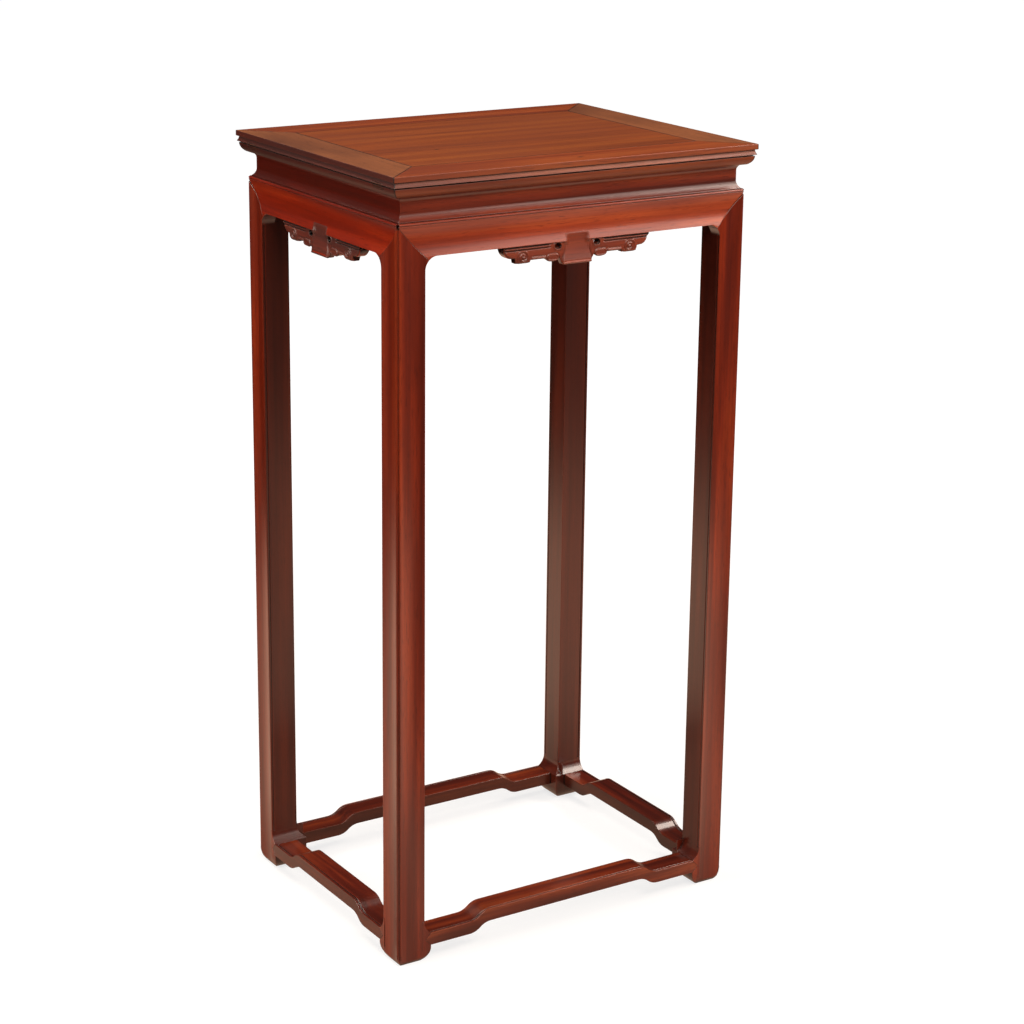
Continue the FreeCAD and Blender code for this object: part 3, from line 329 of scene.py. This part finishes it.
# Carved fronts of the four pendants, in mm: across from the middle, drop below the apron's edge.
# A pair is where a blend starts and ends. Three numbers are a ridge or a groove: rise, middle, width.
pendantSettings = {
    "apronFoot": 757.5,                             # height of the apron's lower edge
    "wingPlane": 11.5,                              # plane of the wings, in from the edge of the top
    "step": 0.7, "rows": 38, "backing": 3.2,        # grid over the carving, thickness of the carved skin
    "thinnest": 0.6,
    "ground": 1.2, "edgeRound": (0.0, 1.3), "edgeSink": 1.1,
    # two grooves with a bead between them, past the bud's end
    "beadStart": (-6.0, -3.0),
    "beadLines": ((-1.7, 1.4, 0.6), (-1.7, 4.4, 0.6), (0.35, 2.9, 0.9)),
    # bud: a long drop with a raised outline
    "valleyDrop": 15.7, "budFrom": 21.2, "budTo": 37.2, "budSwell": 4.1,
    "budCore": 3.4, "budRadius": 2.9, "budLift": 0.3,
    "budRim": (0.95, 0.0, 0.75), "budMoat": (-0.6, 1.5, 0.6), "budFill": 0.35, "budDome": (-2.0, 0.0),
    # tendril along the valley, from past the bud to before the curl
    "tendrilStart": (-1.0, 2.0), "tendrilStop": (-3.0, 0.0),
    "tendrilLines": ((0.7, 1.6, 0.9), (-0.5, 3.6, 0.6)),
    # curl: a spiral ridge round an eye, placed in from the wing's end
    "curlFrom": 31.7, "curlTo": 13.4, "curlSwell": 2.6, "curlPower": 8, "curlLift": 6.6,
    "spiralPitch": 3.5, "spiralFade": (6.4, 7.6), "spiral": (1.25, 0.0, 0.85), "spiralSink": 0.3125,
    "eye": (0.9, 0.0, 1.5),
    "endDrop": 12.7, "endTip": 0.2, "endPower": 2.4,
    # hole beside the tab
    "holeDrop": 4.0, "holeHalf": (3.8, 2.9), "holeRim": (0.95, 0.7, 0.65),
    # tab, with a lip at its foot and a groove along its sides
    "tabHalf": 14.0, "tabFootHalf": 17.6, "tabSpread": (8.0, 21.0), "tabDrop": 23.7, "tabTop": -7.5,
    "tabProud": 0.55, "tabFlare": 3.0, "tabHollow": 1.2,
    "tabLip": ((0.4, 0.9, 0.7), (-0.35, 2.4, 0.7)), "tabCheek": (-1.0, 0.6), "tabGroove": (-0.8, 1.0, 0.6),
    # head of the tab, with coves up to the apron's hollow face
    "headHalf": 15.8, "headRise": 9.2, "headRows": 13, "headFoot": (-0.5, 4.0), "headSide": (15.2, 17.4),
    "sideCove": (9.0, 14.2), "sideSunk": (14.2, 15.8), "topCove": (3.2, 8.0), "topSunk": (8.0, 9.2),
    "headProud": 0.15, "headSink": 0.5,
    "flareSpan": 32.0, "flareDepth": 3.0,
}
# half length of the wings, middle of the hole, turn in degrees, how far out the edge of the top is
pendants = {
    "carved_pendant_front": {"half": 87, "hole": 23.5, "turn": 0, "reach": 169},
    "carved_pendant_right": {"half": 81, "hole": 19.5, "turn": 90, "reach": 219},
    "carved_pendant_back": {"half": 87, "hole": 23.5, "turn": 180, "reach": 169},
    "carved_pendant_left": {"half": 81, "hole": 19.5, "turn": 270, "reach": 219},
}


def easedStep(value, low, high):
    share = min(max((value - low) / (high - low), 0.0), 1.0)
    return share * share * (3 - 2 * share)


def ridge(value, rise, middle, width):
    return rise * math.exp(-((value - middle) / width) ** 2)


def pendantDrop(across, half):
    # lower outline: foot of the tab, round bud, valley, curl, rounded end of the wing
    carve = pendantSettings
    curlStart, curlEnd = half - carve["curlFrom"], half - carve["curlTo"]
    tip = half + carve["endTip"]
    if across <= carve["tabFootHalf"]:
        return carve["tabDrop"]
    if across <= carve["budFrom"]:
        share = (across - carve["tabFootHalf"]) / (carve["budFrom"] - carve["tabFootHalf"])
        return carve["tabDrop"] + share * (carve["valleyDrop"] - carve["tabDrop"])
    if across <= carve["budTo"]:
        middle = (carve["budFrom"] + carve["budTo"]) / 2
        share = (across - middle) / (carve["budTo"] - middle)
        return carve["valleyDrop"] + carve["budSwell"] * math.sqrt(max(1 - share * share, 0))
    if across <= curlStart:
        return carve["valleyDrop"]
    if across <= curlEnd:
        share = (2 * across - curlStart - curlEnd) / (curlEnd - curlStart)
        return carve["valleyDrop"] + carve["curlSwell"] * (1 - share ** carve["curlPower"])
    share = min((across - curlEnd) / (tip - curlEnd), 1.0)
    return carve["endDrop"] * math.sqrt(1 - share ** carve["endPower"])


def holeDistance(across, drop, hole):
    # how far a point lies outside the rounded hole beside the tab
    wide, tall = pendantSettings["holeHalf"]
    beyondX = max(abs(across - hole) - (wide - tall), 0.0)
    return math.hypot(beyondX, drop - pendantSettings["holeDrop"]) - tall


def apronFace(rise):
    # height of the apron's hollow face in front of the wing's plane
    span, depth = pendantSettings["flareSpan"], pendantSettings["flareDepth"]
    radius = (span * span / 4 + depth * depth) / (2 * depth)
    return radius - math.sqrt(radius * radius - (max(rise, 0.0) - span / 2) ** 2)


def pendantRelief(across, drop, half, hole):
    # height of the carving in front of the wing's plane
    carve = pendantSettings
    edge = pendantDrop(across, half) - drop
    pastBud = across - carve["budTo"]
    height = carve["ground"]

    onBead = easedStep(pastBud, *carve["beadStart"])
    for line in carve["beadLines"]:
        height += onBead * ridge(drop, *line)

    fromX = across - (half - (carve["curlFrom"] + carve["curlTo"]) / 2)
    fromZ = drop - (carve["valleyDrop"] + carve["curlSwell"] - carve["curlLift"])
    away = math.hypot(fromX, fromZ)
    turns = away / carve["spiralPitch"] - math.atan2(fromZ, fromX) / math.tau
    turns -= round(turns)
    inCurl = 1 - easedStep(away, *carve["spiralFade"])
    height += inCurl * (ridge(turns * carve["spiralPitch"], *carve["spiral"]) - carve["spiralSink"])
    height += ridge(away, *carve["eye"])

    budMiddle = (carve["budFrom"] + carve["budTo"]) / 2
    alongBud = max(abs(across - budMiddle) - carve["budCore"], 0.0)
    fromBud = math.hypot(alongBud, drop - carve["valleyDrop"] + carve["budLift"]) - carve["budRadius"]
    height += ridge(fromBud, *carve["budRim"]) + ridge(fromBud, *carve["budMoat"])
    height += carve["budFill"] * (1 - easedStep(fromBud, *carve["budDome"]))

    between = easedStep(pastBud, *carve["tendrilStart"])
    between *= 1 - easedStep(across - (half - carve["curlFrom"]), *carve["tendrilStop"])
    for line in carve["tendrilLines"]:
        height += between * ridge(edge, *line)

    height += ridge(holeDistance(across, drop, hole), *carve["holeRim"])

    # the tab swings forward to its lip, its cheeks slope back to the wings
    share = (drop - carve["tabTop"]) / (carve["tabDrop"] - carve["tabTop"])
    tab = carve["tabProud"] + carve["tabFlare"] * share - 4 * carve["tabHollow"] * share * (1 - share)
    for line in carve["tabLip"]:
        tab += ridge(edge, *line)
    spread = (carve["tabFootHalf"] - carve["tabHalf"]) * easedStep(drop, *carve["tabSpread"])
    pastTab = across - carve["tabHalf"] - spread
    onTab = 1 - easedStep(pastTab, *carve["tabCheek"])
    height += (tab - height) * onTab
    height += (1 - onTab) * ridge(pastTab, *carve["tabGroove"])

    # head of the tab: coves run up into the apron's face and end just under it
    sideCove = easedStep(across, *carve["sideCove"])
    topCove = easedStep(-drop, *carve["topCove"])
    sunk = max(easedStep(across, *carve["sideSunk"]), easedStep(-drop, *carve["topSunk"]))
    rim = apronFace(-drop) + carve["headProud"] - carve["headSink"] * sunk
    cove = tab + (rim - tab) * (1 - (1 - sideCove) * (1 - topCove))
    onHead = 1 - easedStep(drop, *carve["headFoot"])
    onHead *= 1 - easedStep(across, *carve["headSide"])
    height += (cove - height) * onHead
    return height - carve["edgeSink"] * (1 - easedStep(edge, *carve["edgeRound"]))


def carvedPendant(name, place):
    carve = pendantSettings
    half, hole, reach = place["half"], place["hole"], place["reach"]
    tip = half + carve["endTip"]
    columns = 2 * math.ceil(tip / carve["step"])
    shape = bmesh.new()
    grid = []
    for column in range(columns + 1):
        across = tip * (2 * column / columns - 1)
        deepest = max(pendantDrop(abs(across), half), carve["thinnest"])
        above = carve["headRows"] if abs(across) <= carve["headHalf"] else 0
        line = {}
        for row in range(-above, carve["rows"] + 1):
            if row > 0:
                drop = deepest * row / carve["rows"]
            else:
                drop = carve["headRise"] * row / carve["headRows"]      # up the head of the tab
            height = pendantRelief(abs(across), drop, half, hole)
            spot = Vector((across, carve["wingPlane"] - reach - height, carve["apronFoot"] - drop)) * mm
            line[row] = (shape.verts.new(spot), holeDistance(abs(across), drop, hole))
        grid.append(line)
    for first, second in zip(grid, grid[1:]):
        for row in range(max(min(first), min(second)), carve["rows"]):
            corners = [first[row], first[row + 1], second[row + 1], second[row]]
            if sum(gap for vert, gap in corners) > 0:       # leaves the holes open
                shape.faces.new([vert for vert, gap in corners])
    loose = [vert for vert in shape.verts if not vert.link_faces]
    bmesh.ops.delete(shape, geom=loose, context="VERTS")
    shape.transform(Matrix.Rotation(math.radians(place["turn"]), 4, "Z"))
    bmesh.ops.recalc_face_normals(shape, faces=shape.faces)
    mesh = bpy.data.meshes.new(name)
    shape.to_mesh(mesh)
    shape.free()
    mesh.shade_smooth()
    piece = bpy.data.objects.new(name, mesh)
    scene.collection.objects.link(piece)
    skin = piece.modifiers.new("carvedSkin", "SOLIDIFY")
    skin.thickness = carve["backing"] * mm
    skin.offset = -1
    mesh.materials.append(finishFor(name))
    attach(piece, "root")


for name, place in pendants.items():
    carvedPendant(name, place)
print("pendants carved:", len(pendants))

# camera at the viewing angle of the photograph
cameraSettings = {
    "spot": (-1.40773, -2.25747, 1.25274),
    "turn": -33.066, "tilt": 16.241, "roll": 0.831,   # degrees
    "lens": 89.24, "sensor": 36,
    "shift": (-0.0271, -0.0429),
    "clipEnd": 80,
}
cameraData = bpy.data.cameras.new("camera")
camera = bpy.data.objects.new("camera", cameraData)
scene.collection.objects.link(camera)
turn = Matrix.Rotation(math.radians(cameraSettings["turn"]), 4, "Z")
tilt = Matrix.Rotation(math.radians(90 - cameraSettings["tilt"]), 4, "X")
roll = Matrix.Rotation(math.radians(cameraSettings["roll"]), 4, "Z")
camera.matrix_world = Matrix.Translation(cameraSettings["spot"]) @ turn @ tilt @ roll
cameraData.sensor_width = cameraSettings["sensor"]
cameraData.lens = cameraSettings["lens"]
cameraData.shift_x, cameraData.shift_y = cameraSettings["shift"]
cameraData.clip_end = cameraSettings["clipEnd"]
scene.camera = camera

# Studio: a white paper floor, soft boxes and white behind. The floor lights the stand as grey paper, and
# polished wood mirrors a painted reflection on it: a glowing warm pool, with painted shadow under the stand
# and at a spot in front of it.
floorSettings = {
    "size": 40.0, "paper": "#a8a6a2", "shadowed": "#8e8e8e", "white": "#ffffff", "poolTint": "#ffcfb0",
    "glow": {"From Min": 0.6, "From Max": 1.8, "To Min": 0.76, "To Max": 1.0},
    "underStandShade": {"From Min": 0.15, "From Max": 0.5, "To Min": 0.35, "To Max": 1.0},
    "poolSpot": (0.08, -0.08, 0.0),
    "pool": {"From Min": 1.05, "From Max": 1.8, "To Min": 1.0, "To Max": 0.0},
    "shadeSpot": (-0.2, -1.12, 0.0),
    "shade": {"From Min": 0.3, "From Max": 0.85, "To Min": 0.15, "To Max": 1.0},
}


def paperFloor():
    mesh = bpy.data.meshes.new("floor")
    shape = bmesh.new()
    bmesh.ops.create_grid(shape, x_segments=1, y_segments=1, size=floorSettings["size"] / 2)
    shape.to_mesh(mesh)
    shape.free()
    floor = bpy.data.objects.new("floor", mesh)
    scene.collection.objects.link(floor)
    material = bpy.data.materials.new("white_paper_floor")
    material.use_nodes = True
    tree = material.node_tree
    tree.nodes.remove(tree.nodes["Principled BSDF"])
    rays = addNode(tree, "LightPath")
    seen = addNode(tree, "Math", {"operation": "MAXIMUM"},
                   {0: rays.outputs["Is Camera Ray"], 1: rays.outputs["Is Transmission Ray"]}).outputs[0]
    place = addNode(tree, "NewGeometry").outputs["Position"]
    away = addNode(tree, "VectorMath", {"operation": "LENGTH"}, {0: place}).outputs["Value"]
    glow = addNode(tree, "MapRange", {"interpolation_type": "SMOOTHSTEP"},
                   {"Value": away, **floorSettings["glow"]}).outputs[0]
    white = addNode(tree, "Emission", None,
                    {"Color": linear(floorSettings["white"]), "Strength": glow}).outputs[0]
    shadowed = addNode(tree, "BsdfDiffuse", None, {"Color": linear(floorSettings["shadowed"])}).outputs[0]
    lit = addNode(tree, "AddShader", None, {0: white, 1: shadowed}).outputs[0]
    paper = addNode(tree, "BsdfDiffuse", None, {"Color": linear(floorSettings["paper"])}).outputs[0]
    # painted shadow in the mirrored pool: dimmed under the stand and at a spot in front of it
    underStandShade = addNode(tree, "MapRange", {"interpolation_type": "SMOOTHSTEP"},
                         {"Value": away, **floorSettings["underStandShade"]}).outputs[0]
    fromPool = addNode(tree, "VectorMath", {"operation": "DISTANCE"},
                       {0: place, 1: floorSettings["poolSpot"]}).outputs["Value"]
    pool = addNode(tree, "MapRange", {"interpolation_type": "SMOOTHSTEP"},
                   {"Value": fromPool, **floorSettings["pool"]}).outputs[0]
    fromShade = addNode(tree, "VectorMath", {"operation": "DISTANCE"},
                        {0: place, 1: floorSettings["shadeSpot"]}).outputs["Value"]
    shade = addNode(tree, "MapRange", {"interpolation_type": "SMOOTHSTEP"},
                    {"Value": fromShade, **floorSettings["shade"]}).outputs[0]
    for part in (underStandShade, shade):
        pool = addNode(tree, "Math", {"operation": "MULTIPLY"}, {0: pool, 1: part}).outputs[0]
    shine = addNode(tree, "Emission", None,
                    {"Color": linear(floorSettings["poolTint"]), "Strength": pool}).outputs[0]
    unseen = addNode(tree, "MixShader", None,
                     {0: rays.outputs["Is Glossy Ray"], 1: paper, 2: shine}).outputs[0]
    both = addNode(tree, "MixShader", None, {0: seen, 1: unseen, 2: lit}).outputs[0]
    tree.links.new(both, tree.nodes["Material Output"].inputs["Surface"])
    mesh.materials.append(material)


softBoxes = {
    "frontBox": {"spot": (-0.45, -2.05, 2.25), "aim": (0.0, 0.0, 0.6), "size": (1.7, 1.4), "power": 65},
    "rightStrip": {"spot": (1.72, -0.85, 2.0), "aim": (0.2, -0.16, 0.8), "size": (1.6, 0.6), "power": 46,
                   "spin": 38},       # degrees
    "rightFill": {"spot": (1.45, -1.85, 1.3), "aim": (0.1, -0.16, 0.77), "size": (1.0, 0.8), "power": 7},
    "leftBox": {"spot": (-2.1, 0.15, 1.35), "aim": (0.0, 0.0, 0.6), "size": (0.7, 0.7), "power": 34},
    "overhead": {"spot": (-0.8, 0.7, 2.5), "aim": (0.0, 0.0, 0.8), "size": (1.2, 1.2), "power": 32},
}
lampTint = "#fff1e4"


def addSoftBox(name, box):
    data = bpy.data.lights.new(name, "AREA")
    data.shape = "RECTANGLE"
    data.size, data.size_y = box["size"]
    data.energy = box["power"]
    data.color = linear(lampTint)[:3]
    lamp = bpy.data.objects.new(name, data)
    lamp.location = box["spot"]
    aim = (Vector(box["aim"]) - Vector(box["spot"])).to_track_quat("-Z", "Y")
    spin = Matrix.Rotation(math.radians(box.get("spin", 0)), 3, "Z")
    lamp.rotation_euler = (aim.to_matrix() @ spin).to_euler()
    scene.collection.objects.link(lamp)


# white to the camera, faint as a light
worldSettings = {"white": "#ffffff", "strength": {"To Min": 0.02, "To Max": 1.0}}


def studioWorld():
    world = bpy.data.worlds.new("studio")
    scene.world = world
    world.use_nodes = True
    tree = world.node_tree
    background = tree.nodes["Background"]
    background.inputs["Color"].default_value = linear(worldSettings["white"])
    rays = addNode(tree, "LightPath")
    seen = addNode(tree, "Math", {"operation": "MAXIMUM"},
                   {0: rays.outputs["Is Camera Ray"], 1: rays.outputs["Is Transmission Ray"]}).outputs[0]
    strength = addNode(tree, "MapRange", None, {"Value": seen, **worldSettings["strength"]}).outputs[0]
    tree.links.new(strength, background.inputs["Strength"])


paperFloor()
for name, box in softBoxes.items():
    addSoftBox(name, box)
studioWorld()
print("studio set:", len(softBoxes), "soft boxes")
